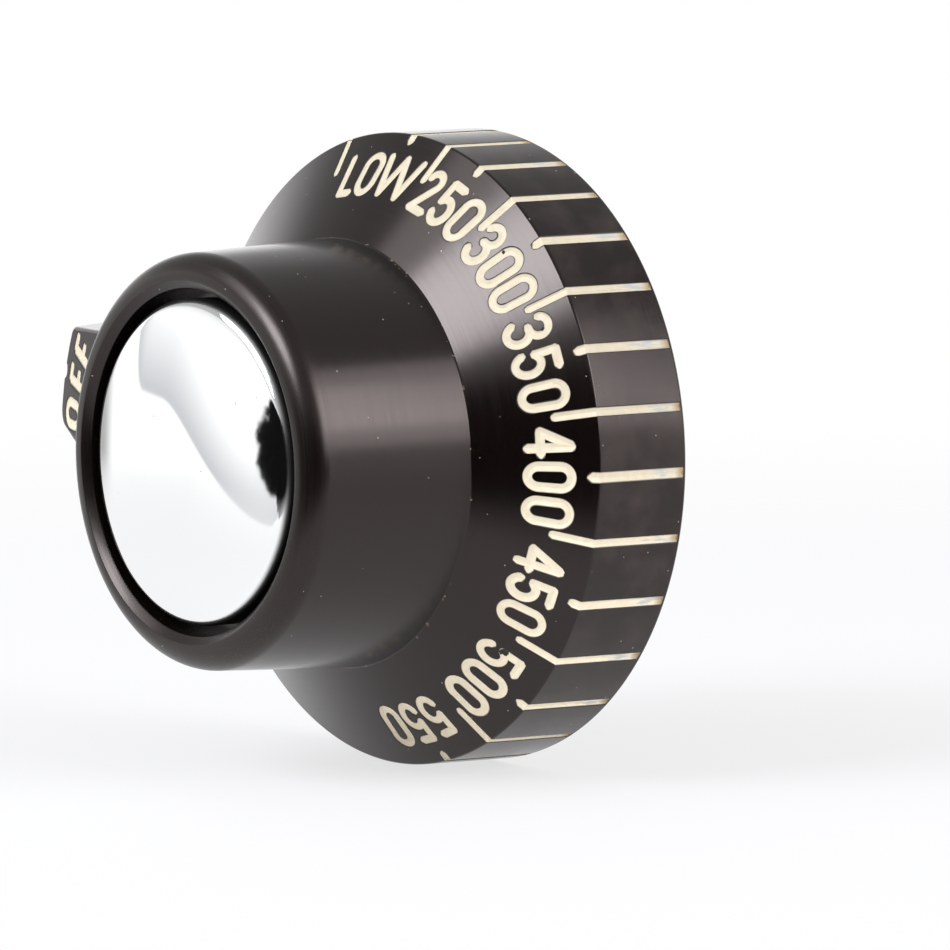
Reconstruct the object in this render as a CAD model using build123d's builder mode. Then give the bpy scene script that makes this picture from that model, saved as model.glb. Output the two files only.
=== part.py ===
from build123d import *
from math import cos, radians, sin, tan
import os

# Oven temperature control knob: a phenolic moulding with an engraved dial, a chrome cap and a shaft spring.
# Millimetres and degrees. The axis is level: the front faces -Y, +X is to the right of someone facing the
# knob, +Z is up. The origin is on the axis in the plane of the skirt's rear edge. Heights are measured
# forward from that plane, and clock angles run clockwise from the top as seen from the front.

# Skirt and dial cone
skirt_diameter = 57.0
rim_height = 9.6
rim_draft = 2.0
rim_rear_round = 0.35
cone_angle = 34.8

# Hub with its front recess
hub_base_diameter = 37.9
hub_front = 32.4
hub_draft = 3.5
hub_front_round = 2.3
lip_wall = 2.95
lip_chamfer_width = 0.7
lip_chamfer_depth = 0.6
recess_depth = 3.4
spigot_height = 1.6

# Lug that carries the word for the closed position
lug_clock = -77.2
lug_edge_height = 26.5
lug_upper_half_width = 4.45
lug_lower_half_width = 4.4
lug_face_slope = 19.0
lug_upper_angle = 14.3
lug_lower_angle = 8.0
lug_draft = 5.0
lug_edge_lift = 0.05
lug_foot_setback = 0.15
lug_upper_round = 0.6
lug_lower_round = 1.2
lug_face_round = 0.35

# Engraved scale: the first mark stands alone, and the others stand further apart towards the hot end
mark_count = 16
first_mark_clock = -12.5
scale_start_clock = -3.3
scale_step = 9.55
step_growth = 0.107
long_mark_width = 0.8
short_mark_width = 0.95
mark_depth = 0.25
long_mark_reach = 4.15
short_mark_reach = 1.2
mark_rear_gap = 0.4

# Hollow back with boss and ribs
wall = 3.0
boss_diameter = 16.0
boss_setback = 1.0
rib_count = 4
first_rib_clock = 45.0
rib_thickness = 1.8
rib_setback = 4.0

# Socket for a D-shaped stem
stem_diameter = 7.94
stem_across_flat = 6.35
stem_clearance = 0.05
socket_depth = 20.0

# Leaf spring in the flat side of the socket
spring_length = 13.6
spring_width = 4.6
spring_sheet = 0.35
spring_bow = 0.6
spring_foot = 2.2
spring_inset = 3.0
pocket_depth = 0.5
pocket_clearance = 0.1

# Chrome cap
cap_gap = 0.85
cap_sheet = 0.6
cap_fit = 0.05
cap_dome_height = 1.85
cap_edge_height = 2.85
cap_edge_round = 1.0

# Cuts run this far past the faces that they open
overrun = 1.0

# Worked-out sizes of the moulding
skirt_radius = skirt_diameter / 2
corner_radius = skirt_radius - rim_height * tan(radians(rim_draft))
hub_base_radius = hub_base_diameter / 2
cone_top = rim_height + (corner_radius - hub_base_radius) * tan(radians(cone_angle))
hub_front_radius = hub_base_radius - (hub_front - cone_top) * tan(radians(hub_draft))
recess_radius = hub_front_radius - lip_wall
recess_floor = hub_front - recess_depth
crest_radius = recess_radius + lip_chamfer_width
front_round = min(hub_front_round, 0.95 * (hub_front_radius - crest_radius))
cap_radius = recess_radius - cap_gap
spigot_radius = cap_radius - cap_sheet - cap_fit
boss_radius = boss_diameter / 2
socket_radius = stem_diameter / 2 + stem_clearance
flat_offset = stem_across_flat - stem_diameter / 2 + stem_clearance
pocket_floor = flat_offset + pocket_depth


def radial_plane(clock):
    """A plane through the axis: its x runs outward at a clock angle and its y runs to the front."""
    turn = radians(clock)
    return Plane(origin=(0, 0, 0), x_dir=(sin(turn), 0, cos(turn)), z_dir=(cos(turn), 0, -sin(turn)))


def rearward_plane(height, clock=90):
    """A plane across the axis that faces the rear: its x runs outward at a clock angle."""
    turn = radians(clock)
    return Plane(origin=(0, -height, 0), x_dir=(sin(turn), 0, cos(turn)), z_dir=(0, 1, 0))


def on_rim(height, lift):
    """Radius and height of a point that stands off the rim by a lift."""
    return (skirt_radius - height * tan(radians(rim_draft)) + lift, height)


def on_cone(reach, lift):
    """Radius and height of a point up the cone from its outer corner, standing off it by a lift."""
    slope = radians(cone_angle)
    return (
        corner_radius - reach * cos(slope) + lift * sin(slope),
        rim_height + reach * sin(slope) + lift * cos(slope),
    )


def cone_underside(radius):
    """Height of the cone's inner face at a radius, one wall behind its outer face."""
    start_radius, start_height = on_cone(0, -wall)
    return start_height + (start_radius - radius) * tan(radians(cone_angle))


# Hollow of the back: one ring-shaped space around the boss, divided by the ribs
hollow_rim_radius = skirt_radius - wall - rim_height * tan(radians(rim_draft))
hollow_hub_radius = hub_base_radius - wall
hollow_front = recess_floor - wall
hollow_front_radius = hollow_hub_radius - (hollow_front - cone_top) * tan(radians(hub_draft))

with BuildPart() as back_hollow:
    with BuildSketch(radial_plane(90)):
        with BuildLine():
            Polyline(
                (0, -overrun),
                (hollow_rim_radius, -overrun),
                (hollow_rim_radius, cone_underside(hollow_rim_radius)),
                (hollow_hub_radius, cone_underside(hollow_hub_radius)),
                (hollow_front_radius, hollow_front),
                (boss_radius, hollow_front),
                (boss_radius, boss_setback),
                (0, boss_setback),
                close=True,
            )
        make_face()
    revolve(axis=Axis.Y)
    for rib in range(rib_count):
        with BuildSketch(radial_plane(first_rib_clock + rib * 360 / rib_count)):
            with Locations(((boss_radius + skirt_radius) / 2, (rib_setback + hub_front) / 2)):
                Rectangle(skirt_radius - boss_radius + 2 * overrun, hub_front - rib_setback)
        extrude(amount=rib_thickness / 2, both=True, mode=Mode.SUBTRACT)

# Lug: a sector of a ring whose outer wall starts just inside the rim and rises a little more steeply
lug_edge_radius, lug_edge = on_rim(lug_edge_height, lug_edge_lift)
lug_foot_radius, lug_foot = on_rim(rim_height - wall / 4, -lug_foot_setback)
lug_root_radius = hub_front_radius - lip_wall / 3
lug_root_height = lug_edge + (lug_edge_radius - lug_root_radius) * tan(radians(lug_face_slope))


def lug_half_width(half_width, side_angle, radius):
    """Half width of the lug in the plane of the hub's front, on the side with the given angle."""
    drawn_in = (hub_front - lug_edge) * tan(radians(lug_draft)) / cos(radians(side_angle))
    return half_width - drawn_in + (lug_edge_radius - radius) * tan(radians(side_angle))



with BuildPart() as lug:
    with BuildSketch(radial_plane(90)):
        with BuildLine():
            Polyline(
                (lug_root_radius, cone_top - wall / 2),
                (lug_foot_radius, lug_foot),
                (lug_edge_radius, lug_edge),
                (lug_root_radius, lug_root_height),
                close=True,
            )
        make_face()
    revolve(axis=Axis.Y)
    with BuildSketch(rearward_plane(hub_front, lug_clock)):
        with BuildLine():
            Polyline(
                (skirt_radius, lug_half_width(lug_upper_half_width, lug_upper_angle, skirt_radius)),
                (0, lug_half_width(lug_upper_half_width, lug_upper_angle, 0)),
                (0, -lug_half_width(lug_lower_half_width, lug_lower_angle, 0)),
                (skirt_radius, -lug_half_width(lug_lower_half_width, lug_lower_angle, skirt_radius)),
                close=True,
            )
        make_face()
    extrude(amount=hub_front, taper=-lug_draft, mode=Mode.INTERSECT)
    upright_edges = lug.edges().filter_by(lambda edge: edge.bounding_box().size.Y > lug_lower_half_width)
    outer_edges = upright_edges.sort_by(lambda edge: Vector(edge.center().X, 0, edge.center().Z).length)[-2:]
    fillet(outer_edges.sort_by(Axis.Z)[-1], radius=lug_upper_round)
    upright_edges = lug.edges().filter_by(lambda edge: edge.bounding_box().size.Y > lug_lower_half_width)
    fillet(upright_edges.sort_by(Axis.X)[:2].sort_by(Axis.Z)[0], radius=lug_lower_round)
    face_edges = lug.faces().sort_by(Axis.Y)[0].edges()
    fillet(face_edges.filter_by(lambda edge: edge.center().X < -lug_root_radius), radius=lug_face_round)

# Phenolic moulding: skirt, dial cone, hub and lug in one piece
with BuildPart() as knob_body:
    with BuildSketch(radial_plane(90)):
        with BuildLine():
            Polyline(
                (0, 0),
                (skirt_radius, 0),
                (corner_radius, rim_height),
                (hub_base_radius, cone_top),
                (hub_front_radius, hub_front),
                (0, hub_front),
                close=True,
            )
        make_face()
    revolve(axis=Axis.Y)
    turned_edges = knob_body.edges().filter_by(GeomType.CIRCLE).sort_by(Axis.Y)
    fillet(turned_edges[0], radius=front_round)
    fillet(turned_edges[-1], radius=rim_rear_round)
    add(lug.part)

    # Recess in the hub's front, with the spigot that the cap is pressed over
    with BuildSketch(radial_plane(90)):
        with BuildLine():
            Polyline(
                (0, recess_floor + spigot_height),
                (spigot_radius, recess_floor + spigot_height),
                (spigot_radius, recess_floor),
                (recess_radius, recess_floor),
                (recess_radius, hub_front - lip_chamfer_depth),
                (crest_radius, hub_front),
                (crest_radius, hub_front + overrun),
                (0, hub_front + overrun),
                close=True,
            )
        make_face()
    revolve(axis=Axis.Y, mode=Mode.SUBTRACT)

    # Hollow back, then the D-shaped socket in the boss and the pocket for the spring
    add(back_hollow.part, mode=Mode.SUBTRACT)
    with BuildSketch(rearward_plane(boss_setback + socket_depth)):
        Circle(socket_radius)
        with Locations((0, flat_offset + socket_radius)):
            Rectangle(2 * socket_radius, 2 * socket_radius, mode=Mode.SUBTRACT)
    extrude(amount=socket_depth + overrun, mode=Mode.SUBTRACT)
    with BuildSketch(rearward_plane(boss_setback + spring_inset + spring_length + pocket_clearance)):
        with Locations((0, pocket_floor / 2)):
            Rectangle(spring_width + 2 * pocket_clearance, pocket_floor)
    extrude(amount=spring_length + 2 * pocket_clearance, mode=Mode.SUBTRACT)

    # Engraved marks: each starts just clear of the rear edge and runs up the rim and onto the cone
    for mark in range(mark_count):
        clock = scale_start_clock + mark * (scale_step + step_growth * mark) if mark else first_mark_clock
        reach = short_mark_reach if mark % 2 else long_mark_reach
        width = short_mark_width if mark % 2 else long_mark_width
        with BuildSketch(radial_plane(clock)):
            with BuildLine():
                Polyline(
                    on_rim(mark_rear_gap, -mark_depth),
                    on_rim(rim_height + overrun, -mark_depth),
                    on_rim(rim_height + overrun, overrun),
                    on_rim(mark_rear_gap, overrun),
                    close=True,
                )
            make_face()
            with BuildLine():
                Polyline(
                    on_cone(-overrun, -mark_depth),
                    on_cone(reach, -mark_depth),
                    on_cone(reach, overrun),
                    on_cone(-overrun, overrun),
                    close=True,
                )
            make_face()
        extrude(amount=width / 2, both=True, mode=Mode.SUBTRACT)

# Chrome cap: a drawn dome with a short skirt that stands on the recess floor around the spigot
cap_edge = recess_floor + cap_edge_height

with BuildPart() as chrome_cap:
    with BuildSketch(radial_plane(90)) as cap_outline:
        with BuildLine():
            TangentArc((0, cap_edge + cap_dome_height), (cap_radius, cap_edge), tangent=(1, 0))
            Polyline(
                (cap_radius, cap_edge),
                (cap_radius, recess_floor),
                (0, recess_floor),
                (0, cap_edge + cap_dome_height),
            )
        make_face()
        fillet(cap_outline.vertices().group_by(Axis.X)[-1].sort_by(Axis.Y)[-1], radius=cap_edge_round)
    revolve(axis=Axis.Y)
    offset(amount=-cap_sheet, openings=chrome_cap.faces().sort_by(Axis.Y)[-1])

# Leaf spring: two flat feet on the pocket floor and a bowed middle that presses on the stem's flat
spring_rear = -(boss_setback + spring_inset)
spring_front = spring_rear - spring_length
spring_middle = (spring_rear + spring_front) / 2

with BuildPart() as shaft_spring:
    with BuildSketch(Plane.YZ):
        with BuildLine():
            under = -pocket_floor
            over = -pocket_floor + spring_sheet
            Polyline((spring_rear - spring_foot, under), (spring_rear, under), (spring_rear, over))
            Line((spring_rear, over), (spring_rear - spring_foot, over))
            ThreePointArc(
                (spring_rear - spring_foot, over),
                (spring_middle, over + spring_bow),
                (spring_front + spring_foot, over),
            )
            Polyline(
                (spring_front + spring_foot, over),
                (spring_front, over),
                (spring_front, under),
                (spring_front + spring_foot, under),
            )
            ThreePointArc(
                (spring_front + spring_foot, under),
                (spring_middle, under + spring_bow),
                (spring_rear - spring_foot, under),
            )
        make_face()
    extrude(amount=spring_width / 2, both=True)

os.makedirs("parts", exist_ok=True)
for piece, name in ((knob_body, "knob_body"), (chrome_cap, "chrome_cap"), (shaft_spring, "shaft_spring")):
    piece.part.label = name
    export_step(piece.part, f"parts/{name}.step")
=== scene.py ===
# %% [markdown]
# # An oven temperature control knob
# The real knob is one dark phenolic moulding with an engraved dial, a chrome cap pressed into the front of
# its hub and a leaf spring in its shaft socket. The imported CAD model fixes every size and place. This lesson
# dresses it: the moulding and the cap are turned again as smooth meshes, the scale is engraved, and each
# surface gets the finish of the real material.

# %% Loading the frame
from math import atan2, cos, degrees, pi, radians, sin, sqrt, tan

import bpy
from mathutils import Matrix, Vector


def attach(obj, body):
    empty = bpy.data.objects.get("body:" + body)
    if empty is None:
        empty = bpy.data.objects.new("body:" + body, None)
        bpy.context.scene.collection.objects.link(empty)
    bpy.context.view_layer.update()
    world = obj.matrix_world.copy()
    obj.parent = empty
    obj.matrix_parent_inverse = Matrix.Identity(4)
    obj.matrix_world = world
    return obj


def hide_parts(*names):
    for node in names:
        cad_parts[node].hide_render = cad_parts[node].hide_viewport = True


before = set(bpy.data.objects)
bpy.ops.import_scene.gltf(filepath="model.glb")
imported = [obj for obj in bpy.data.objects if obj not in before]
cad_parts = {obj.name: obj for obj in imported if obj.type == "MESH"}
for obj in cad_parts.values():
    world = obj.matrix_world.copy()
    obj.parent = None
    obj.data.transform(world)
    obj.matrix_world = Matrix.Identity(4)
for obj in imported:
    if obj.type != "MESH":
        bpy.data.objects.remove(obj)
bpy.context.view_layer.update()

MM = 0.001

# %% [markdown]
# ## Colours and nodes
# A colour is written as the sRGB hex value that a colour picker shows. Blender's shaders work in linear
# light, so one function turns the one into the other. A second small function adds a shader node, sets it up
# and links it, which keeps every material below down to a readable list.

# %% Helpers for materials


def linear(hex_colour):
    """The linear colour, with alpha, of an sRGB hex value such as "d8c9a0"."""
    channels = [int(hex_colour[i:i + 2], 16) / 255 for i in (0, 2, 4)]
    return tuple(c / 12.92 if c <= 0.04045 else ((c + 0.055) / 1.055) ** 2.4 for c in channels) + (1.0,)


def add_node(material, kind, inputs=None, **settings):
    """Adds a node with its settings. An input is a value, or the output socket that is linked to it."""
    made = material.node_tree.nodes.new(kind)
    for name, value in settings.items():
        setattr(made, name, value)
    for socket, value in (inputs or {}).items():
        if isinstance(value, bpy.types.NodeSocket):
            material.node_tree.links.new(value, made.inputs[socket])
        else:
            made.inputs[socket].default_value = value
    return made


def new_material(name):
    """An empty node material with its output, ready for a shader."""
    material = bpy.data.materials.new(name)
    material.use_nodes = True
    material.node_tree.nodes.clear()
    return material


print("helpers ready:", linear("808080")[0])

# %% [markdown]
# ## Sizes and places
# The sizes are the CAD model's own, in millimetres. Heights run forward from the skirt's rear edge and clock
# angles run clockwise from the top, as seen from the front. A few functions turn a place on the dial cone, the
# rim or the lug into a point, both for the engraving and for the wear in the materials.

# %% Sizes of the knob
skirt_radius = 28.5
rim_height = 9.6
rim_draft = radians(2.0)
cone_slope = radians(34.8)
hub_base_radius = 18.95
hub_front = 32.4
hub_slope = tan(radians(3.5))
lip_wall = 2.95
wall = 3.0
lug_clock = -77.2
lug_edge_height = 26.5
lug_slope = radians(19.0)

corner_radius = skirt_radius - rim_height * tan(rim_draft)
cone_top = rim_height + (corner_radius - hub_base_radius) * tan(cone_slope)
hub_front_radius = hub_base_radius - (hub_front - cone_top) * hub_slope
recess_radius = hub_front_radius - lip_wall
lug_edge_radius = skirt_radius - lug_edge_height * tan(rim_draft) + 0.05
LUG_TEXT_FOOT = 5.79
cap_radius = recess_radius - 0.85


def outward(clock):
    """The direction away from the axis at a clock angle."""
    return Vector((sin(radians(clock)), 0, cos(radians(clock))))


def place_at(clock, radius, height):
    """The point at a clock angle, a radius and a height, in metres."""
    return outward(clock) * radius * MM + Vector((0, -height * MM, 0))


def on_cone(clock, reach, lift):
    """A point up the dial cone from its outer corner, at a slant distance, standing off the cone by a lift."""
    radius = corner_radius - reach * cos(cone_slope) + lift * sin(cone_slope)
    return place_at(clock, radius, rim_height + reach * sin(cone_slope) + lift * cos(cone_slope))


def on_rim(clock, height, lift):
    """A point of the rim at a height, standing off it by a lift."""
    return place_at(clock, skirt_radius - height * tan(rim_draft) + lift, height)


def on_lug(across, up, lift):
    """A point of the lug's face: across runs clockwise, up runs outward to the lug's edge."""
    inward = LUG_TEXT_FOOT - up
    radius = lug_edge_radius - inward * cos(lug_slope) + lift * sin(lug_slope)
    height = lug_edge_height + inward * sin(lug_slope) + lift * cos(lug_slope)
    return place_at(lug_clock + degrees(across / (lug_edge_radius - LUG_TEXT_FOOT / 2)), radius, height)


print("cone from radius", round(corner_radius, 2), "to", hub_base_radius, "at height", round(cone_top, 2))

# %% [markdown]
# ## Phenolic
# The moulding is a dark brown-black phenolic, pressed hot in a steel mould and buffed. To the eye it is almost
# black with a soft gloss. The buffing wheel has left fine lines that run round the axis, so their noise is
# stretched along the turned section. Handling has left hazy patches on the rim, old grime sits in the corner
# between cone and hub, and a few specks of dust lie about.

# %% Polished phenolic


def turned_place(material):
    """The place on an object, and its radius and height in the turned section, as sockets."""
    place = add_node(material, "ShaderNodeTexCoord").outputs["Object"]
    parts = add_node(material, "ShaderNodeSeparateXYZ", {0: place}).outputs
    flat = add_node(material, "ShaderNodeCombineXYZ", {"X": parts["X"], "Y": parts["Z"]}).outputs["Vector"]
    radius = add_node(material, "ShaderNodeVectorMath", {0: flat}, operation="LENGTH").outputs["Value"]
    height = add_node(material, "ShaderNodeMath", {0: parts["Y"], 1: -1.0}, operation="MULTIPLY").outputs["Value"]
    section = add_node(material, "ShaderNodeCombineXYZ", {"X": radius, "Y": height}).outputs["Vector"]
    return place, section, height


phenolic = new_material("polished_phenolic")
place, section, height = turned_place(phenolic)
cloud = add_node(phenolic, "ShaderNodeTexNoise", {"Vector": place, "Scale": 1 / (6 * MM), "Detail": 4.0})
tint = add_node(phenolic, "ShaderNodeMix", {"Factor": cloud.outputs["Fac"], 6: linear("080403"), 7: linear("0e0807")},
                data_type="RGBA")

# Hazy patches from handling, on the rim
patch = add_node(phenolic, "ShaderNodeTexNoise", {"Vector": place, "Scale": 1 / (3.5 * MM), "Detail": 5.0, "Roughness": 0.6})
patchy = add_node(phenolic, "ShaderNodeMapRange", {"Value": patch.outputs["Fac"], "From Min": 0.42, "From Max": 0.75})
on_the_rim = add_node(phenolic, "ShaderNodeMapRange", {
    "Value": height, "From Min": (rim_height - 0.4) * MM, "From Max": rim_height * MM, "To Min": 1.0, "To Max": 0.0,
})
haze = add_node(phenolic, "ShaderNodeMath", {0: patchy.outputs["Result"], 1: on_the_rim.outputs["Result"]},
                operation="MULTIPLY")
hazed = add_node(phenolic, "ShaderNodeMix", {"Factor": haze.outputs["Value"], 6: tint.outputs[2], 7: linear("2c2523")},
                 data_type="RGBA")

# Dust, and grime in the corner between cone and hub
speck = add_node(phenolic, "ShaderNodeTexVoronoi", {"Vector": place, "Scale": 1 / (1.7 * MM)})
dust = add_node(phenolic, "ShaderNodeMath", {0: speck.outputs["Distance"], 1: 0.04}, operation="LESS_THAN")
dusty = add_node(phenolic, "ShaderNodeMix", {"Factor": dust.outputs["Value"], 6: hazed.outputs[2], 7: linear("8f8880")},
                 data_type="RGBA")
into_corner = add_node(phenolic, "ShaderNodeVectorMath", {
    0: section, 1: (hub_base_radius * MM, cone_top * MM, 0),
}, operation="DISTANCE").outputs["Value"]
near_corner = add_node(phenolic, "ShaderNodeMapRange", {
    "Value": into_corner, "From Min": 0.1 * MM, "From Max": 0.55 * MM, "To Min": 0.66, "To Max": 0.9,
})
crumb = add_node(phenolic, "ShaderNodeTexNoise", {"Vector": place, "Scale": 1 / (0.45 * MM), "Detail": 3.0})
grime = add_node(phenolic, "ShaderNodeMath", {0: crumb.outputs["Fac"], 1: near_corner.outputs["Result"]},
                 operation="GREATER_THAN")
colour = add_node(phenolic, "ShaderNodeMix", {"Factor": grime.outputs["Value"], 6: dusty.outputs[2], 7: linear("6e6048")},
                  data_type="RGBA")

# Buffing lines round the axis, in the roughness and as a very shallow relief
stretched = add_node(phenolic, "ShaderNodeVectorMath", {0: section, 1: (60.0, 60.0, 60.0), 2: place}, operation="MULTIPLY_ADD")
line = add_node(phenolic, "ShaderNodeTexNoise", {"Vector": stretched.outputs["Vector"], "Scale": 1 / (12 * MM), "Detail": 3.0})
buffed = add_node(phenolic, "ShaderNodeMapRange", {"Value": line.outputs["Fac"], "To Min": 0.13, "To Max": 0.26})
worn = add_node(phenolic, "ShaderNodeMapRange", {
    "Value": height, "From Min": (hub_front - 3.0) * MM, "From Max": (hub_front - 1.2) * MM, "To Min": 0.0, "To Max": 0.09,
}, interpolation_type="SMOOTHSTEP")
gloss = add_node(phenolic, "ShaderNodeMath", {0: buffed.outputs["Result"], 1: worn.outputs["Result"]}, operation="ADD")
relief = add_node(phenolic, "ShaderNodeBump", {"Height": line.outputs["Fac"], "Strength": 0.06, "Distance": 0.03 * MM})
surface = add_node(phenolic, "ShaderNodeBsdfPrincipled", {
    "Base Color": colour.outputs[2], "Roughness": gloss.outputs["Value"], "IOR": 1.52,
    "Specular Tint": (1.0, 0.85, 0.84, 1.0), "Normal": relief.outputs["Normal"],
})
add_node(phenolic, "ShaderNodeOutputMaterial", {"Surface": surface.outputs["BSDF"]})
print("made", phenolic.name, "with", len(phenolic.node_tree.nodes), "nodes")

# %% [markdown]
# ## Cream paint
# After engraving, cream paint was wiped over the dial and stayed in the cuts. It has drawn back a little from
# the cuts' edges, which leaves each stroke with a thin dark outline. The outline follows from the depth below
# the dial's surface, so the material works out how far a point lies under the cone, the rim or the lug's face.
# A few flakes are gone, and on the rim the marks are smudged, in a blue-grey that is partly a painted reflection, and
# brown at their rear ends.

# %% Cream scale paint
FLAKES = ((on_cone(131.4, 4.3, 0), 1.15), (on_cone(44.4, 3.4, 0), 0.55), (on_cone(62.6, 3.1, 0), 0.55))

paint = new_material("cream_scale_paint")
place, section, height = turned_place(paint)
mottle = add_node(paint, "ShaderNodeTexNoise", {"Vector": place, "Scale": 1 / (0.5 * MM), "Detail": 3.0})
cream = add_node(paint, "ShaderNodeMix", {"Factor": mottle.outputs["Fac"], 6: linear("e0d0b2"), 7: linear("efe5d2")},
                 data_type="RGBA")
# Painted light: the cream is made lighter towards the bottom of the knob and darker towards the top, standing in for
# more light on the lower dial
level = add_node(paint, "ShaderNodeVectorMath", {0: place, 1: (0, 0, 1)}, operation="DOT_PRODUCT").outputs["Value"]
painted_light_by_height = add_node(paint, "ShaderNodeMapRange", {
    "Value": level, "From Min": -20 * MM, "From Max": 6 * MM, "To Min": 1.13, "To Max": 0.81,
})
cream_with_painted_light = add_node(paint, "ShaderNodeVectorMath", {0: cream.outputs[2], "Scale": painted_light_by_height.outputs["Result"]}, operation="SCALE")

# Blue-grey along the marks on the rim, strongest towards the rear: partly smudged paint, partly a painted reflection of
# the pale room
along = add_node(paint, "ShaderNodeVectorMath", {0: place, 1: (4.0, 0.6, 4.0)}, operation="MULTIPLY")
streak_noise = add_node(paint, "ShaderNodeTexNoise", {"Vector": along.outputs["Vector"], "Scale": 1 / (1.2 * MM), "Detail": 4.0})
rearward = add_node(paint, "ShaderNodeMapRange", {
    "Value": height, "From Min": 2.5 * MM, "From Max": 7.0 * MM, "To Min": 0.0, "To Max": 0.35,
})
streak_level = add_node(paint, "ShaderNodeMath", {0: streak_noise.outputs["Fac"], 1: rearward.outputs["Result"]}, operation="SUBTRACT")
smudge_and_reflection = add_node(paint, "ShaderNodeMapRange", {
    "Value": streak_level.outputs["Value"], "From Min": 0.45, "From Max": 0.62, "To Min": 0.0, "To Max": 0.75,
})
# The blue-grey mixed in here is partly a painted reflection
with_smudge_and_reflection = add_node(paint, "ShaderNodeMix", {"Factor": smudge_and_reflection.outputs["Result"], 6: cream_with_painted_light.outputs["Vector"], 7: linear("aab2bd")},
                   data_type="RGBA")
# Brown towards the rear ends of the rim marks
rear_end = add_node(paint, "ShaderNodeMapRange", {
    "Value": height, "From Min": 0.7 * MM, "From Max": 1.3 * MM, "To Min": 0.8, "To Max": 0.0,
})
browned = add_node(paint, "ShaderNodeMix", {"Factor": rear_end.outputs["Result"], 6: with_smudge_and_reflection.outputs[2], 7: linear("ab9470")},
                   data_type="RGBA")

# Depth below the face that the stroke is cut in: each face is given by a point of its section and its lean
depths = []
for radius, face_height, lean in ((corner_radius, rim_height, cone_slope), (skirt_radius, 0, pi / 2 - rim_draft),
                                  (lug_edge_radius, lug_edge_height, lug_slope)):
    from_edge = add_node(paint, "ShaderNodeVectorMath", {0: section, 1: (radius * MM, face_height * MM, 0)},
                         operation="SUBTRACT")
    depths.append(add_node(paint, "ShaderNodeVectorMath", {0: from_edge.outputs["Vector"], 1: (sin(lean), cos(lean), 0)},
                           operation="DOT_PRODUCT").outputs["Value"])
dial_depth = add_node(paint, "ShaderNodeMath", {0: depths[0], 1: depths[1]}, operation="MAXIMUM").outputs["Value"]
on_the_lug = add_node(paint, "ShaderNodeMath", {0: depths[0], 1: 2 * MM}, operation="GREATER_THAN").outputs["Value"]
depth = add_node(paint, "ShaderNodeMix", {"Factor": on_the_lug, 2: dial_depth, 3: depths[2]}, data_type="FLOAT")
bare_edge = add_node(paint, "ShaderNodeMapRange", {"Value": depth.outputs[0], "From Min": -0.08 * MM, "From Max": -0.04 * MM})
bare = bare_edge.outputs["Result"]
ragged = add_node(paint, "ShaderNodeMapRange", {"Value": mottle.outputs["Fac"], "To Min": 0.1 * MM, "To Max": 0.65 * MM})
for flake, size in FLAKES:
    away = add_node(paint, "ShaderNodeVectorMath", {0: place, 1: flake}, operation="DISTANCE").outputs["Value"]
    edge = add_node(paint, "ShaderNodeMath", {0: ragged.outputs["Result"], 1: size}, operation="MULTIPLY").outputs["Value"]
    gone = add_node(paint, "ShaderNodeMath", {0: away, 1: edge}, operation="LESS_THAN")
    bare = add_node(paint, "ShaderNodeMath", {0: bare, 1: gone.outputs["Value"]}, operation="MAXIMUM").outputs["Value"]
shown = add_node(paint, "ShaderNodeMix", {"Factor": bare, 6: browned.outputs[2], 7: linear("1c1512")}, data_type="RGBA")
surface = add_node(paint, "ShaderNodeBsdfPrincipled", {"Base Color": shown.outputs[2], "Roughness": 0.55})
add_node(paint, "ShaderNodeOutputMaterial", {"Surface": surface.outputs["BSDF"]})
print("made", paint.name, "with", len(paint.node_tree.nodes), "nodes")

# %% [markdown]
# ## Chrome
# The cap is drawn from sheet and bright chrome plated. Age has given the plate a few fine pits. Its rounded edge
# is rougher and painted dark grey, a painted dark reflection of the gap round the cap.

# %% Bright chrome plate
chrome = new_material("bright_chrome_plate")
place, section, height = turned_place(chrome)
haze = add_node(chrome, "ShaderNodeTexNoise", {"Vector": place, "Scale": 1 / (4 * MM), "Detail": 3.0})
radius = add_node(chrome, "ShaderNodeVectorMath", {0: section, 1: (1, 0, 0)}, operation="DOT_PRODUCT").outputs["Value"]
# Painted reflection: the rounded edge is painted dark grey, and made rougher
edge = add_node(chrome, "ShaderNodeMapRange", {
    "Value": radius, "From Min": (cap_radius - 0.5) * MM, "From Max": (cap_radius - 0.1) * MM, "To Min": 0.0, "To Max": 0.9,
}, interpolation_type="SMOOTHSTEP").outputs["Result"]
spot = add_node(chrome, "ShaderNodeTexVoronoi", {"Vector": place, "Scale": 1 / (1.9 * MM)})
pit = add_node(chrome, "ShaderNodeMath", {0: spot.outputs["Distance"], 1: 0.035}, operation="LESS_THAN")
plate = add_node(chrome, "ShaderNodeMix", {"Factor": pit.outputs["Value"], 6: linear("f9fafa"), 7: linear("a8a49e")},
                 data_type="RGBA")
edge_painted_dark = add_node(chrome, "ShaderNodeMix", {"Factor": edge, 6: plate.outputs[2], 7: linear("3a3735")}, data_type="RGBA")
bright = add_node(chrome, "ShaderNodeMapRange", {"Value": haze.outputs["Fac"], "To Min": 0.02, "To Max": 0.06})
gloss = add_node(chrome, "ShaderNodeMath", {0: edge, 1: 0.4, 2: bright.outputs["Result"]}, operation="MULTIPLY_ADD")
surface = add_node(chrome, "ShaderNodeBsdfPrincipled", {
    "Base Color": edge_painted_dark.outputs[2], "Metallic": 1.0, "Roughness": gloss.outputs["Value"],
})
add_node(chrome, "ShaderNodeOutputMaterial", {"Surface": surface.outputs["BSDF"]})
print("made", chrome.name)

# %% [markdown]
# ## Spring steel
# The leaf spring is plain rolled strip.

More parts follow.
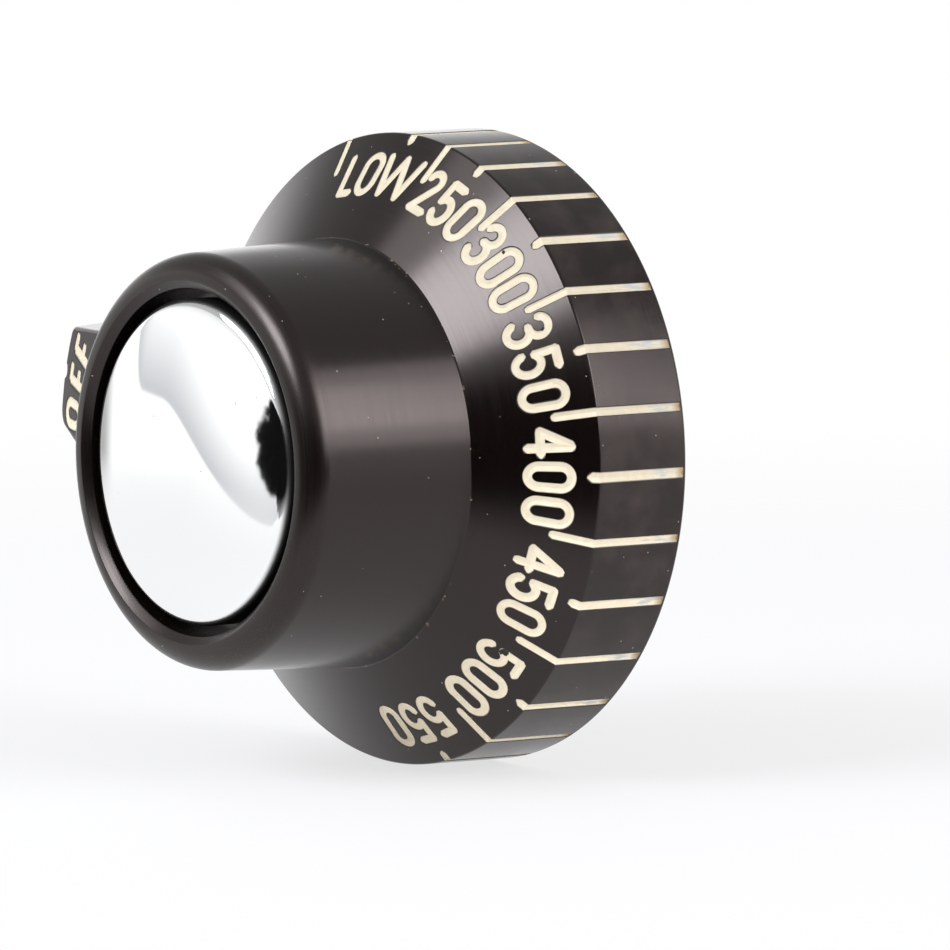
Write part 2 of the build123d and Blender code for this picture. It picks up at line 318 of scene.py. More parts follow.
# %% Rolled spring steel
steel = new_material("rolled_spring_steel")
place = add_node(steel, "ShaderNodeTexCoord").outputs["Object"]
grain = add_node(steel, "ShaderNodeTexNoise", {"Vector": place, "Scale": 1 / (0.3 * MM), "Detail": 2.0})
gloss = add_node(steel, "ShaderNodeMapRange", {"Value": grain.outputs["Fac"], "To Min": 0.25, "To Max": 0.45})
surface = add_node(steel, "ShaderNodeBsdfPrincipled", {
    "Base Color": linear("8a8a8c"), "Metallic": 1.0, "Roughness": gloss.outputs["Result"],
})
add_node(steel, "ShaderNodeOutputMaterial", {"Surface": surface.outputs["BSDF"]})
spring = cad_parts["shaft_spring"]
spring.data.materials.clear()
spring.data.materials.append(steel)
print("dressed", spring.name)

# %% [markdown]
# ## Turning a profile
# The skirt, cone and hub were turned in the mould's steel, so they are turned here too: one vertex is
# extruded along the section, corner by corner, the corners that are round on the real knob are bevelled, and
# the section is spun about the axis. A boolean lathe from primitives would leave seams and facets.

# %% Helpers for turned pieces
AXIS = (0, 1, 0)
TURN_STEPS = 720


def clear_selection():
    """Object mode with nothing selected, as a start for any operator."""
    if bpy.context.object and bpy.context.object.mode != "OBJECT":
        bpy.ops.object.mode_set(mode="OBJECT")
    bpy.ops.object.select_all(action="DESELECT")


def section_point(radius, height):
    """A point of a section: the radius runs along X and the height forward, along -Y, in millimetres."""
    return Vector((radius * MM, -height * MM, 0))


def draw_section(name, points, rounds=()):
    """Extrudes one vertex along the points, then rounds the corners listed as (index, radius, segments)."""
    clear_selection()
    bpy.ops.mesh.primitive_plane_add(size=MM)
    piece = bpy.context.object
    piece.name = piece.data.name = name
    bpy.ops.object.mode_set(mode="EDIT")
    bpy.ops.mesh.select_mode(type="VERT")
    bpy.ops.mesh.merge(type="CENTER")
    bpy.ops.transform.translate(value=section_point(*points[0]))
    for here, there in zip(points, points[1:]):
        step = section_point(*there) - section_point(*here)
        bpy.ops.mesh.extrude_vertices_move(TRANSFORM_OT_translate={"value": step})
    for index, radius, segments in rounds:
        round_corner(piece, points, index, radius, segments)
    return piece


def select_where(piece, test):
    """In edit mode, selects only the vertices whose place passes a test."""
    bpy.ops.mesh.select_mode(type="VERT")
    bpy.ops.mesh.select_all(action="DESELECT")
    bpy.ops.object.mode_set(mode="OBJECT")
    for vertex in piece.data.vertices:
        vertex.select = test(vertex.co)
    bpy.ops.object.mode_set(mode="EDIT")


def round_corner(piece, points, index, radius, segments):
    """Bevels one corner of a section to a round of the given radius."""
    corner = section_point(*points[index])
    back = (section_point(*points[index - 1]) - corner).normalized()
    ahead = (section_point(*points[index + 1]) - corner).normalized()
    reach = radius * MM / tan(back.angle(ahead) / 2)
    select_where(piece, lambda place: (place - corner).length < 0.001 * MM)
    bpy.ops.mesh.bevel(offset=reach, segments=segments, profile=0.5, affect="VERTICES")


def spin_section(piece, steps=TURN_STEPS, angle=2 * pi):
    """Spins a section about the knob's axis and leaves a closed mesh with its faces outward."""
    bpy.ops.mesh.select_all(action="SELECT")
    bpy.ops.mesh.spin(steps=steps, angle=angle, center=(0, 0, 0), axis=AXIS)
    bpy.ops.mesh.select_all(action="SELECT")
    bpy.ops.mesh.remove_doubles(threshold=0.0005 * MM)
    bpy.ops.mesh.normals_make_consistent(inside=False)
    bpy.ops.object.mode_set(mode="OBJECT")


print("lathe ready:", TURN_STEPS, "steps a turn")

# %% [markdown]
# ## The moulding
# The section runs from the middle of the hub's front, over the spigot and the recess, round the lip, down the
# hub, the dial cone and the rim, and back through the hollow behind to the boss.

# %% Turning the moulding
lip_chamfer = (0.7, 0.6)
recess_floor = 29.0
spigot_top = 30.6
cap_sheet = 0.6
boss_radius = 8.0
boss_end = 1.0

crest_radius = recess_radius + lip_chamfer[0]
spigot_radius = cap_radius - cap_sheet - 0.05
hollow_rim_radius = corner_radius - wall
hollow_hub_radius = hub_base_radius - wall
hollow_front = recess_floor - wall
hollow_front_radius = hollow_hub_radius - (hollow_front - cone_top) * hub_slope


def cone_underside(radius):
    """Height of the cone's inner face, one wall behind its outer face."""
    start_radius = corner_radius - wall * sin(cone_slope)
    start_height = rim_height - wall * cos(cone_slope)
    return start_height + (start_radius - radius) * tan(cone_slope)


moulding_section = [
    (0, spigot_top),
    (spigot_radius, spigot_top),
    (spigot_radius, recess_floor),
    (recess_radius, recess_floor),
    (recess_radius, hub_front - lip_chamfer[1]),
    (crest_radius, hub_front),
    (hub_front_radius, hub_front),
    (hub_base_radius, cone_top),
    (corner_radius, rim_height),
    (skirt_radius, 0),
    (hollow_rim_radius, 0),
    (hollow_rim_radius, cone_underside(hollow_rim_radius)),
    (hollow_hub_radius, cone_underside(hollow_hub_radius)),
    (hollow_front_radius, hollow_front),
    (boss_radius, hollow_front),
    (boss_radius, boss_end),
    (0, boss_end),
]
moulding_rounds = [
    (15, 0.5, 3), (14, 1.0, 4), (13, 1.0, 4), (12, 1.0, 4), (11, 1.0, 4), (10, 0.3, 3), (9, 0.35, 4),
    (8, 0.3, 4), (7, 0.25, 4), (6, 2.2, 12), (5, 0.12, 3), (4, 0.15, 3), (1, 0.3, 3),
]
body = draw_section("phenolic_body", moulding_section, moulding_rounds)
spin_section(body)
body.data.materials.append(phenolic)
print("turned", body.name, "with", len(body.data.polygons), "faces")

# %% [markdown]
# ## The lug
# The raised lug that carries OFF grows out of the skirt and the hub. Its section is filled and spun through
# a short arc in broad steps, so that each step is wider than the rounds of the lug's corners. Two slanting cuts
# make its sides, and bevels round the upright corners and then the edges. A knock has left a small chip in
# the middle of its outer edge, which is cut out with a coarse ball.

# %% Modelling the lug
lug_draft = radians(5.0)
lug_foot_height = rim_height - wall / 4
lug_foot_radius = skirt_radius - lug_foot_height * tan(rim_draft) - 0.15
lug_root_radius = hub_front_radius - lip_wall / 3
LUG_STEPS = 13
LUG_STEP = 4
EDGE_ROUND = 0.3
# Each side, clockwise first: its way, half width at the outer edge, slant and upright round
LUG_SIDES = ((1, 4.45, radians(14.3), 0.6), (-1, 4.4, radians(8.0), 1.2))
CHIP = {"clock": -76.4, "depth": 0.95, "radius": 0.85}


def turn_about_axis(piece, clock_turn):
    """Turns a finished object about the knob's axis, clockwise as seen from the front, and applies it."""
    clear_selection()
    piece.select_set(True)
    bpy.context.view_layer.objects.active = piece
    piece.rotation_euler = (0, radians(clock_turn), 0)
    bpy.ops.object.transform_apply(location=False, rotation=True, scale=False)


def lug_side(way, half_width, slant):
    """A point on one side of the lug and the side's outward normal: way is 1 clockwise and -1 the other way."""
    across = outward(lug_clock + 90) * way
    point = place_at(lug_clock, lug_edge_radius, lug_edge_height) + across * half_width * MM
    normal = (across * cos(slant) + outward(lug_clock) * sin(slant)) * cos(lug_draft)
    return point, normal + Vector((0, -sin(lug_draft), 0))


lug = draw_section("off_lug", [
    (lug_root_radius, cone_top - wall / 2),
    (lug_foot_radius, lug_foot_height),
    (lug_edge_radius, lug_edge_height),
    (lug_root_radius, lug_edge_height + (lug_edge_radius - lug_root_radius) * tan(lug_slope)),
])
bpy.ops.mesh.select_all(action="SELECT")
bpy.ops.mesh.edge_face_add()
bpy.ops.mesh.spin(steps=LUG_STEPS, angle=radians(LUG_STEPS * LUG_STEP), center=(0, 0, 0), axis=AXIS)
bpy.ops.mesh.select_all(action="SELECT")
bpy.ops.mesh.normals_make_consistent(inside=False)
bpy.ops.object.mode_set(mode="OBJECT")
turn_about_axis(lug, lug_clock - 90 + LUG_STEPS * LUG_STEP / 2)
bpy.ops.object.mode_set(mode="EDIT")
for way, half_width, slant, corner in LUG_SIDES:
    point, normal = lug_side(way, half_width, slant)
    bpy.ops.mesh.select_all(action="SELECT")
    bpy.ops.mesh.bisect(plane_co=point, plane_no=normal, use_fill=True, clear_outer=True)
for way, half_width, slant, corner in LUG_SIDES:
    point, normal = lug_side(way, half_width, slant)
    select_where(lug, lambda place: abs((place - point).dot(normal)) < 0.01 * MM
                 and sqrt(place.x ** 2 + place.z ** 2) > (lug_edge_radius - 0.1) * MM)
    bpy.ops.mesh.select_mode(type="EDGE")
    print("upright edges to round:", lug.data.total_edge_sel)
    bpy.ops.mesh.bevel(offset=corner * MM, segments=6, profile=0.5, affect="EDGES")
bpy.ops.mesh.select_mode(type="EDGE")
bpy.ops.mesh.select_all(action="DESELECT")
bpy.ops.mesh.edges_select_sharp(sharpness=radians(40))
bpy.ops.mesh.bevel(offset=EDGE_ROUND * MM, segments=3, profile=0.5, affect="EDGES")
bpy.ops.mesh.select_all(action="SELECT")
bpy.ops.mesh.delete_loose()
bpy.ops.mesh.select_all(action="SELECT")
bpy.ops.mesh.normals_make_consistent(inside=False)
bpy.ops.object.mode_set(mode="OBJECT")
lug.data.materials.append(phenolic)


def combine(piece, tool, operation):
    """Joins a tool to a piece, or cuts it out of the piece, and removes the tool."""
    clear_selection()
    bpy.context.view_layer.objects.active = piece
    piece.select_set(True)
    change = piece.modifiers.new("Combine", "BOOLEAN")
    change.operation = operation
    change.solver = "MANIFOLD"
    change.material_mode = "TRANSFER"
    change.object = tool
    bpy.ops.object.modifier_apply(modifier=change.name)
    bpy.data.objects.remove(tool)


clear_selection()
bpy.ops.mesh.primitive_ico_sphere_add(subdivisions=2, radius=CHIP["radius"] * MM)
chip = bpy.context.object
chip.location = place_at(CHIP["clock"], lug_edge_radius - CHIP["depth"] + CHIP["radius"], lug_edge_height - 0.2)
bpy.ops.object.transform_apply()
chip.data.materials.append(phenolic)
combine(lug, chip, "DIFFERENCE")
combine(body, lug, "UNION")
print("lug joined:", len(body.data.polygons), "faces")

# %% [markdown]
# ## The back
# Four ribs stiffen the hollow back, and the boss has a D-shaped socket for the cooker's stem, with a pocket
# on its flat side for the leaf spring.

# %% Ribs, socket and pocket
rib_setback = 4.0
rib_thickness = 1.8
RIB_CLOCKS = (45, 135, 225, 315)
EMBED = 1.0
socket_radius = 4.02
socket_flat = 2.43
socket_end = 21.0
pocket_floor = 2.93
pocket_size = (4.8, 13.8)
pocket_middle = 10.8

rib_outline = [
    (boss_radius - EMBED, rib_setback),
    (hollow_rim_radius + EMBED, rib_setback),
    (hollow_rim_radius + EMBED, cone_underside(hollow_rim_radius)),
    (hollow_hub_radius + EMBED, cone_underside(hollow_hub_radius) + EMBED / 2),
    (hollow_front_radius + EMBED, hollow_front + EMBED),
    (boss_radius - EMBED, hollow_front + EMBED),
]
for clock in RIB_CLOCKS:
    rib = draw_section("rib", rib_outline)
    bpy.ops.mesh.select_all(action="SELECT")
    bpy.ops.mesh.edge_face_add()
    bpy.ops.transform.translate(value=(0, 0, -rib_thickness / 2 * MM))
    bpy.ops.mesh.extrude_region_move(TRANSFORM_OT_translate={"value": (0, 0, rib_thickness * MM)})
    bpy.ops.mesh.select_all(action="SELECT")
    bpy.ops.mesh.normals_make_consistent(inside=False)
    bpy.ops.object.mode_set(mode="OBJECT")
    turn_about_axis(rib, clock - 90)
    rib.data.materials.append(phenolic)
    combine(body, rib, "UNION")

clear_selection()
bpy.ops.mesh.primitive_cylinder_add(vertices=96, radius=socket_radius * MM, depth=(socket_end + EMBED) * MM,
                                    location=(0, -(socket_end - EMBED) / 2 * MM, 0), rotation=(pi / 2, 0, 0))
socket = bpy.context.object
bpy.ops.object.transform_apply()
bpy.ops.object.mode_set(mode="EDIT")
bpy.ops.mesh.bisect(plane_co=(0, 0, -socket_flat * MM), plane_no=(0, 0, -1), use_fill=True, clear_outer=True)
bpy.ops.object.mode_set(mode="OBJECT")
socket.data.materials.append(phenolic)
combine(body, socket, "DIFFERENCE")

clear_selection()
bpy.ops.mesh.primitive_cube_add(size=1, location=(0, -pocket_middle * MM, -pocket_floor / 2 * MM),
                                scale=(pocket_size[0] * MM, pocket_size[1] * MM, pocket_floor * MM))
pocket = bpy.context.object
bpy.ops.object.transform_apply()
pocket.data.materials.append(phenolic)
combine(body, pocket, "DIFFERENCE")
print("back finished:", len(body.data.polygons), "faces")

# %% [markdown]
# ## Engraving
# A pantograph's cutter followed each stroke of the scale and left a shallow groove with round ends. The same
# is done here: each run of a stroke is a tube with domed ends that lies along the surface and is cut out of
# the moulding, and the faces that the tube leaves take its paint. Text objects would give flat outlines and
# no groove, so the characters are drawn as single strokes.

# %% The engraver's alphabet
CAP_HEIGHT = 3.9
ARC_STEP = 12


def arc(centre_x, centre_y, radius_x, radius_y, start, stop):
    """Points along an elliptical arc between two angles in degrees, counter-clockwise from the right."""
    count = max(2, round(abs(stop - start) / ARC_STEP))
    turns = [radians(start + (stop - start) * i / count) for i in range(count + 1)]
    return [(centre_x + radius_x * cos(a), centre_y + radius_y * sin(a)) for a in turns]


def ring(radius_x, cap):
    """A closed upright oval with straight sides, as two runs that share their ends."""
    top = arc(0, CAP_HEIGHT - cap, radius_x, cap, 0, 180)
    foot = arc(0, cap, radius_x, cap, 180, 360)
    return [top, foot, [top[-1], foot[0]], [foot[-1], top[0]]]


CHARACTERS = {
    "0": ring(0.9, 1.0),
    "O": ring(1.0, 1.2),
    "2": [arc(0.02, 2.98, 0.73, 0.85, 165, -30) + [(-0.85, 0.02)], [(-0.85, 0.02), (0.95, 0.02)]],
    "3": [arc(-0.08, 2.98, 0.8, 0.88, 165, -75) + [(-0.25, 2.05)],
          [(-0.25, 2.05)] + arc(-0.05, 1.05, 0.92, 1.05, 80, -160)],
    "4": [[(0.47, 0.05), (0.47, CAP_HEIGHT)], [(0.35, CAP_HEIGHT), (-0.96, 1.22)], [(-0.96, 1.22), (0.98, 1.22)]],
    "5": [[(0.61, 3.82), (-0.75, 3.82)], [(-0.75, 3.82), (-0.77, 1.95)],
          [(-0.77, 1.95)] + arc(-0.05, 1.17, 0.9, 1.17, 130, -158)],
    "L": [[(-0.6, 3.85), (-0.6, 0.02)], [(-0.6, 0.02), (0.87, 0.02)]],
    "W": [[(-2.08, CAP_HEIGHT), (-1.23, 0.15)], [(-1.23, 0.15), (-0.03, CAP_HEIGHT)],
          [(-0.03, CAP_HEIGHT), (1.23, 0.15)], [(1.23, 0.15), (2.08, CAP_HEIGHT)]],
    "F": [[(0.55, CAP_HEIGHT), (-0.55, CAP_HEIGHT)], [(-0.55, CAP_HEIGHT), (-0.55, 0.0)], [(-0.55, 1.55), (0.55, 1.55)]],
}
print("characters:", " ".join(CHARACTERS))

# %% [markdown]
# ## Laying strokes on the dial
# A point of a character is given as millimetres across and up. On the cone, across runs round the axis and up
# runs outward down the slope, so that the characters' tops face the rim.

# %% Grooves
NUMERAL_RADIUS = 24.5
NUMERAL_FOOT = 6.35
GROOVE_DEPTH = 0.2


def groove_tool(width):
    """Radius of a round tool, and how far its centre lies off the surface, for a groove of a given width."""
    radius = ((width / 2) ** 2 + GROOVE_DEPTH ** 2) / (2 * GROOVE_DEPTH)
    return radius, radius - GROOVE_DEPTH


def tube(runs, radius, square_start=False):
    """Closed tubes of one radius along runs of points in metres, with domed ends, as one painted mesh."""
    curve = bpy.data.curves.new("groove", "CURVE")
    curve.dimensions = "3D"
    curve.bevel_depth = radius * MM
    curve.bevel_resolution = 3
    curve.use_fill_caps = True
    for run in runs:
        ends = []
        for tip, neighbour in ((run[0], run[1]), (run[-1], run[-2])):
            away = (tip - neighbour).normalized() * radius * MM
            ends.append([(tip + away * sin(radians(a)), cos(radians(a))) for a in (30, 55, 75, 86)])
        stations = [] if square_start else ends[0][::-1]
        stations = stations + [(point, 1.0) for point in run] + ends[1]
        spline = curve.splines.new("POLY")
        spline.points.add(len(stations) - 1)
        for knot, (point, share) in zip(spline.points, stations):
            knot.co = (*point, 1.0)
            knot.radius = share
    thing = bpy.data.objects.new("groove", curve)
    bpy.context.collection.objects.link(thing)
    clear_selection()
    thing.select_set(True)
    bpy.context.view_layer.objects.active = thing
    bpy.ops.object.convert(target="MESH")
    bpy.ops.object.mode_set(mode="EDIT")
    bpy.ops.mesh.select_all(action="SELECT")
    bpy.ops.mesh.remove_doubles(threshold=0.0002 * MM)
    bpy.ops.mesh.normals_make_consistent(inside=False)
    bpy.ops.object.mode_set(mode="OBJECT")
    thing.data.materials.clear()
    thing.data.materials.append(paint)
    return thing


print("tool for a 0.86 mm stroke:", groove_tool(0.86))

# %% [markdown]
# ## The scale
# The long thin marks divide the labels, and the short thick ones belong to the label below them. The marks
# stand further apart towards the hot end.

# %% Cutting the scale
STROKE = 0.98
MARK_WIDTHS = {"long": 0.9, "short": 1.08}
MARK_REACH = {"long": 4.15, "short": 1.2}
MARK_COUNT = 16
LABELS = {
    "LOW": (-6.6, -0.2, 8.8),
    "250": (19.4, 25.9, 32.2),
    "300": (40.2, 46.8, 53.3),
    "350": (61.9, 68.7, 75.5),
    "400": (84.7, 91.6, 98.6),
    "450": (108.9, 115.6, 122.0),
    "500": (133.2, 139.8, 146.7),
    "550": (158.4, 165.0, 171.5),
}
LUG_STROKE = 1.42
# The lug's letters: how far across from its middle and how far up from the line of their feet
LUG_LETTERS = (("O", -2.8, 0.0), ("F", 0.75, -0.3), ("F", 3.54, -0.43))
MARK_REAR_GAP = 0.4


def mark_clock(index):
    """Clock angle of a mark of the scale. The first mark stands apart, before the word LOW."""
    return -3.3 + index * (9.55 + 0.107 * index) if index else -12.5


layers = {}


def cut_later(layer, width, runs):
    """Keeps runs for a layer of tools that don't touch each other."""
    layers.setdefault((layer, width), []).extend(runs)


for index in range(MARK_COUNT):
    kind = "short" if index % 2 else "long"
    width = MARK_WIDTHS[kind]
    radius, lift = groove_tool(width)
    clock = mark_clock(index)
    cut_later("rim", width, [[on_rim(clock, MARK_REAR_GAP, lift), on_rim(clock, rim_height, lift)]])
    cut_later("cone", width, [[on_cone(clock, 0, lift), on_cone(clock, MARK_REACH[kind] - width / 2, lift)]])

radius, lift = groove_tool(STROKE)
for label, clocks in LABELS.items():
    for spot, (character, clock) in enumerate(zip(label, clocks)):
        for layer, run in enumerate(CHARACTERS[character]):
            points = [on_cone(clock + degrees(x / NUMERAL_RADIUS), NUMERAL_FOOT - y, lift) for x, y in run]
            cut_later((layer, spot), STROKE, [points])
radius, lift = groove_tool(LUG_STROKE)
for spot, (character, across, up) in enumerate(LUG_LETTERS):
    for layer, run in enumerate(CHARACTERS[character]):
        points = [on_lug(across + x, up + y, lift) for x, y in run]
        cut_later((layer, spot), LUG_STROKE, [points])

for (layer, width), runs in layers.items():
    combine(body, tube(runs, groove_tool(width)[0], square_start=layer == "rim"), "DIFFERENCE")
print("engraved", sum(len(runs) for runs in layers.values()), "runs:", len(body.data.polygons), "faces")

clear_selection()
body.select_set(True)
bpy.context.view_layer.objects.active = body
bpy.ops.object.shade_smooth_by_angle(angle=radians(32))
bpy.ops.object.mode_set(mode="EDIT")
bpy.ops.mesh.select_mode(type="FACE")
bpy.ops.mesh.select_all(action="DESELECT")
body.active_material_index = 1
bpy.ops.object.material_slot_select()
bpy.ops.mesh.region_to_loop()
bpy.ops.mesh.mark_sharp()
bpy.ops.object.mode_set(mode="OBJECT")

# The cone keeps its own shading up to the small rounds at its corners
sides = {}
for face in body.data.polygons:
    on_slope = abs(-face.normal.y - cos(cone_slope)) < 0.003
    for key in face.edge_keys:
        sides.setdefault(key, set()).add(on_slope)
borders = [edge for edge in body.data.edges if len(sides[edge.key]) == 2]
for edge in borders:
    edge.use_edge_sharp = True
print("edges kept sharp round the cone:", len(borders))
even = body.modifiers.new("Flat faces stay flat", "WEIGHTED_NORMAL")
even.weight = 100
even.keep_sharp = True
bpy.ops.object.modifier_apply(modifier=even.name)
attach(body, "root")
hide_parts("knob_body")

# %% [markdown]
# ## The cap
# The cap is drawn from sheet: a shallow dome, a rounded edge and a short skirt that stands on the recess floor.

# %% Turning the cap
cap_edge = 31.85
dome_height = 1.85
dome_radius = (cap_radius ** 2 + dome_height ** 2) / (2 * dome_height)


def dome(radius, drop):
    """Points along the dome from its top to a radius, a sheet's thickness or other drop below its outer face."""
    sphere = dome_radius - drop
    centre = cap_edge + dome_height - dome_radius
    last = atan2(radius, sqrt(sphere ** 2 - radius ** 2))
    return [(sphere * sin(last * i / 12), centre + sphere * cos(last * i / 12)) for i in range(13)]


outer_dome = dome(cap_radius, 0)
inner_dome = dome(cap_radius - cap_sheet, cap_sheet)
cap_section = outer_dome + [(cap_radius, recess_floor), (cap_radius - cap_sheet, recess_floor)] + inner_dome[::-1]
cap = draw_section("chrome_cap_shell", cap_section, [(15, 0.4, 4), (12, 1.0, 10)])
spin_section(cap, steps=360)
cap.data.materials.append(chrome)
bpy.ops.object.shade_smooth_by_angle(angle=radians(40))
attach(cap, "root")
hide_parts("chrome_cap")
print("cap:", len(cap.data.polygons), "faces")

# %% [markdown]
# ## Floor, light and camera
# The knob stands on a pale sheet in a white studio: one soft lamp in front and above, one at the right and
# behind. The room is white round the horizon, dimmer above, and dark where the photographer stands, which is
# what the black parts of the gloss and of the chrome show.

# %% Stage
FLOOR_SIZE = 1.2
FADE = (0.12, 0.42)
FRONT_FADE = (0.045, 0.15)


def towards(azimuth, elevation):
    """The direction to a place round the knob: azimuth from the front towards the right, elevation upward."""
    turn, rise = radians(azimuth), radians(elevation)
    return Vector((sin(turn) * cos(rise), -cos(turn) * cos(rise), sin(rise)))


clear_selection()
bpy.ops.mesh.primitive_plane_add(size=FLOOR_SIZE, location=(0, 0, -skirt_radius * MM))
floor = bpy.context.object
floor.name = "floor"
pale = new_material("pale_floor")
place = add_node(pale, "ShaderNodeTexCoord").outputs["Object"]
reach = add_node(pale, "ShaderNodeVectorMath", {0: place}, operation="LENGTH").outputs["Value"]
ahead = add_node(pale, "ShaderNodeVectorMath", {0: place, 1: towards(25, 0)}, operation="DOT_PRODUCT").outputs["Value"]
far = add_node(pale, "ShaderNodeMapRange", {"Value": reach, "From Min": FADE[0], "From Max": FADE[1]},
               interpolation_type="SMOOTHSTEP")
front = add_node(pale, "ShaderNodeMapRange", {"Value": ahead, "From Min": FRONT_FADE[0], "From Max": FRONT_FADE[1]},
                 interpolation_type="SMOOTHSTEP")
ray = add_node(pale, "ShaderNodeLightPath").outputs
in_view = add_node(pale, "ShaderNodeMath", {0: 1.0, 1: ray["Is Diffuse Ray"]}, operation="SUBTRACT")
near_front = add_node(pale, "ShaderNodeMath", {0: front.outputs["Result"], 1: in_view.outputs["Value"]}, operation="MULTIPLY")
fade = add_node(pale, "ShaderNodeMath", {0: far.outputs["Result"], 1: near_front.outputs["Value"]}, operation="MAXIMUM")
mirrored = add_node(pale, "ShaderNodeMath", {0: ray["Is Glossy Ray"], 1: ray["Is Transmission Ray"]}, operation="ADD")
lifted = add_node(pale, "ShaderNodeMapRange", {
    "Value": reach, "From Min": 0.03, "From Max": 0.1, "To Min": 0.65, "To Max": 1.0,
}, interpolation_type="SMOOTHSTEP")
seen_in_gloss = add_node(pale, "ShaderNodeMath", {0: mirrored.outputs["Value"], 1: lifted.outputs["Result"]},
                         operation="MULTIPLY").outputs["Value"]
share = add_node(pale, "ShaderNodeMath", {0: ray["Is Camera Ray"], 1: 0.74, 2: seen_in_gloss}, operation="MULTIPLY_ADD")
sheet = add_node(pale, "ShaderNodeBsdfDiffuse", {"Color": linear("ececed")})
glow = add_node(pale, "ShaderNodeEmission", {"Color": linear("fafafb")})
lit = add_node(pale, "ShaderNodeMixShader", {
    0: share.outputs["Value"], 1: sheet.outputs["BSDF"], 2: glow.outputs["Emission"],
})
clear = add_node(pale, "ShaderNodeBsdfTransparent")
blend = add_node(pale, "ShaderNodeMixShader", {
    0: fade.outputs["Value"], 1: lit.outputs["Shader"], 2: clear.outputs["BSDF"],
})
add_node(pale, "ShaderNodeOutputMaterial", {"Surface": blend.outputs["Shader"]})
floor.data.materials.append(pale)


world = bpy.data.worlds.new("studio")
bpy.context.scene.world = world
world.use_nodes = True
world.node_tree.nodes.clear()
look = add_node(world, "ShaderNodeTexCoord").outputs["Generated"]
way = add_node(world, "ShaderNodeSeparateXYZ", {0: look}).outputs
height = way["Z"]

# White round the horizon, dimmer above
sky = add_node(world, "ShaderNodeMapRange", {
    "Value": height, "From Min": 0.18, "From Max": 0.45, "To Min": 1.1, "To Max": 0.48,
}, interpolation_type="SMOOTHSTEP")

# The dark side where the photographer stands
facing = add_node(world, "ShaderNodeVectorMath", {0: look, 1: towards(40, 0)}, operation="DOT_PRODUCT")
raised = add_node(world, "ShaderNodeMath", {0: height, 1: 0.028}, operation="ADD").outputs["Value"]
squared = add_node(world, "ShaderNodeMath", {0: raised, 1: raised}, operation="MULTIPLY")
inside = add_node(world, "ShaderNodeMath", {0: squared.outputs["Value"], 1: -4.5, 2: facing.outputs["Value"]},
                  operation="MULTIPLY_ADD")
fringe = add_node(world, "ShaderNodeTexNoise", {"Vector": look, "Scale": 22.0, "Detail": 4.0})
frayed = add_node(world, "ShaderNodeMath", {0: fringe.outputs["Fac"], 1: 0.1, 2: inside.outputs["Value"]},
                  operation="MULTIPLY_ADD")
dark_side = add_node(world, "ShaderNodeMapRange", {
    "Value": frayed.outputs["Value"], "From Min": 0.355, "From Max": 0.385, "To Min": 1.0, "To Max": 0.005,
}, interpolation_type="SMOOTHSTEP")

# A brighter backdrop behind, and a dimmer gap in it at the far left
behind = add_node(world, "ShaderNodeVectorMath", {0: look, 1: towards(-132, 14)}, operation="DOT_PRODUCT")
backdrop = add_node(world, "ShaderNodeMapRange", {
    "Value": behind.outputs["Value"], "From Min": 0.85, "From Max": 0.97, "To Min": 1.0, "To Max": 1.5,
}, interpolation_type="SMOOTHSTEP")
leftward = add_node(world, "ShaderNodeVectorMath", {0: look, 1: towards(-89, -2)}, operation="DOT_PRODUCT")
gap = add_node(world, "ShaderNodeMapRange", {
    "Value": leftward.outputs["Value"], "From Min": 0.975, "From Max": 0.992, "To Min": 1.0, "To Max": 0.42,
}, interpolation_type="SMOOTHSTEP")

# A fold in the white sheet at the left: a grey that starts sharply at the fold and fades upward
ahead = add_node(world, "ShaderNodeMath", {0: way["Y"], 1: -1.0}, operation="MULTIPLY")
azimuth = add_node(world, "ShaderNodeMath", {0: way["X"], 1: ahead.outputs["Value"]}, operation="ARCTAN2").outputs["Value"]
elevation = add_node(world, "ShaderNodeMath", {0: height}, operation="ARCSINE")
fold_line = add_node(world, "ShaderNodeMapRange", {
    "Value": azimuth, "From Min": radians(-59), "From Max": radians(-28), "To Min": radians(3.2), "To Max": radians(-12),
}, interpolation_type="SMOOTHSTEP")
past_end = add_node(world, "ShaderNodeMath", {0: radians(-65.5), 1: azimuth}, operation="SUBTRACT")
beyond = add_node(world, "ShaderNodeMath", {0: past_end.outputs["Value"], 1: 0.0}, operation="MAXIMUM").outputs["Value"]
rise = add_node(world, "ShaderNodeMath", {0: beyond, 1: beyond}, operation="MULTIPLY")
fold_curve = add_node(world, "ShaderNodeMath", {0: rise.outputs["Value"], 1: 14.0, 2: fold_line.outputs["Result"]},
                      operation="MULTIPLY_ADD")
over_fold = add_node(world, "ShaderNodeMath", {0: elevation.outputs["Value"], 1: fold_curve.outputs["Value"]},
                     operation="SUBTRACT").outputs["Value"]
fold = add_node(world, "ShaderNodeMapRange", {
    "Value": over_fold, "From Min": 0.0, "From Max": radians(8), "To Min": 0.62, "To Max": 1.0,
}).outputs["Result"]
for value, start, stop, first in ((over_fold, -1.0, 0.0, 1.0), (azimuth, -28, -20, 0.0)):
    white = add_node(world, "ShaderNodeMapRange", {
        "Value": value, "From Min": radians(start), "From Max": radians(stop), "To Min": first, "To Max": 1.0 - first,
    })
    fold = add_node(world, "ShaderNodeMath", {0: fold, 1: white.outputs["Result"]}, operation="MAXIMUM").outputs["Value"]

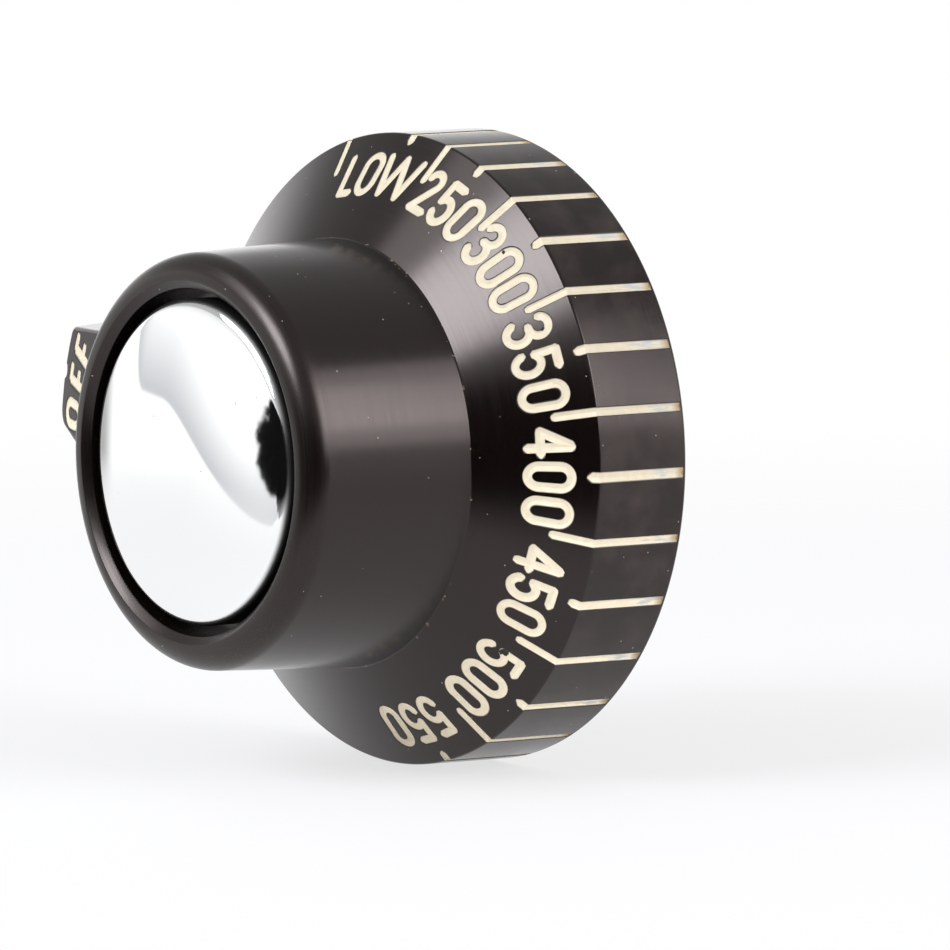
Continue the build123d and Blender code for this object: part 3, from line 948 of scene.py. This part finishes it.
level = sky.outputs["Result"]
for part in (dark_side.outputs["Result"], backdrop.outputs["Result"], gap.outputs["Result"], fold):
    level = add_node(world, "ShaderNodeMath", {0: level, 1: part}, operation="MULTIPLY").outputs["Value"]
seen = add_node(world, "ShaderNodeLightPath").outputs["Is Camera Ray"]
shown = add_node(world, "ShaderNodeMix", {0: seen, 2: level, 3: 1.0}, data_type="FLOAT")
cool = add_node(world, "ShaderNodeMix", {"Factor": fold, 6: (0.87, 0.9, 1.0, 1.0), 7: (1.0, 1.0, 1.0, 1.0)}, data_type="RGBA")
room = add_node(world, "ShaderNodeBackground", {"Color": cool.outputs[2], "Strength": shown.outputs[0]})
add_node(world, "ShaderNodeOutputWorld", {"Surface": room.outputs["Background"]})


def soft_lamp(name, azimuth, elevation, distance, width, tall, radiance):
    """A rectangular lamp that faces the knob, with its power worked out from the brightness of its face."""
    lamp = bpy.data.lights.new(name, "AREA")
    lamp.shape = "RECTANGLE"
    lamp.size = width
    lamp.size_y = tall
    lamp.energy = radiance * pi * width * tall
    holder = bpy.data.objects.new(name, lamp)
    holder.location = towards(azimuth, elevation) * distance
    holder.rotation_euler = (-holder.location).to_track_quat("-Z", "Y").to_euler()
    bpy.context.collection.objects.link(holder)
    return holder


front = soft_lamp("front_lamp", -4, 36, 1.2, 0.58, 0.44, 10.9)
front.data.color = (0.91, 0.97, 1.0)
soft_lamp("front_lamp_glow", -16, 41, 1.25, 1.0, 0.7, 2.0)
soft_lamp("side_lamp", 108, 26, 1.2, 0.66, 0.44, 3.4)
soft_lamp("side_lamp_glow", 108, 26, 1.25, 1.0, 0.84, 2.5)
fill = soft_lamp("fill_lamp", 10, 0, 1.0, 0.5, 0.35, 4.0)
fill.visible_glossy = False
print("stage set")

PHOTO_SIZE = 950
FOCAL_PIXELS = 4500
camera_place = Vector((0.31388, -0.25713, 0.03269))
camera_aim = Vector((-0.7708, 0.6311, -0.0872))
lens = bpy.data.cameras.new("photo_camera")
lens.sensor_width = 36
lens.lens = 36 * FOCAL_PIXELS / PHOTO_SIZE
lens.clip_start = 0.01
camera = bpy.data.objects.new("photo_camera", lens)
camera.location = camera_place
camera.rotation_euler = camera_aim.to_track_quat("-Z", "Y").to_euler()
bpy.context.collection.objects.link(camera)
bpy.context.scene.camera = camera
bpy.context.scene.view_settings.view_transform = "Standard"
print("camera", camera.location[:], "lens", round(lens.lens, 1), "mm")
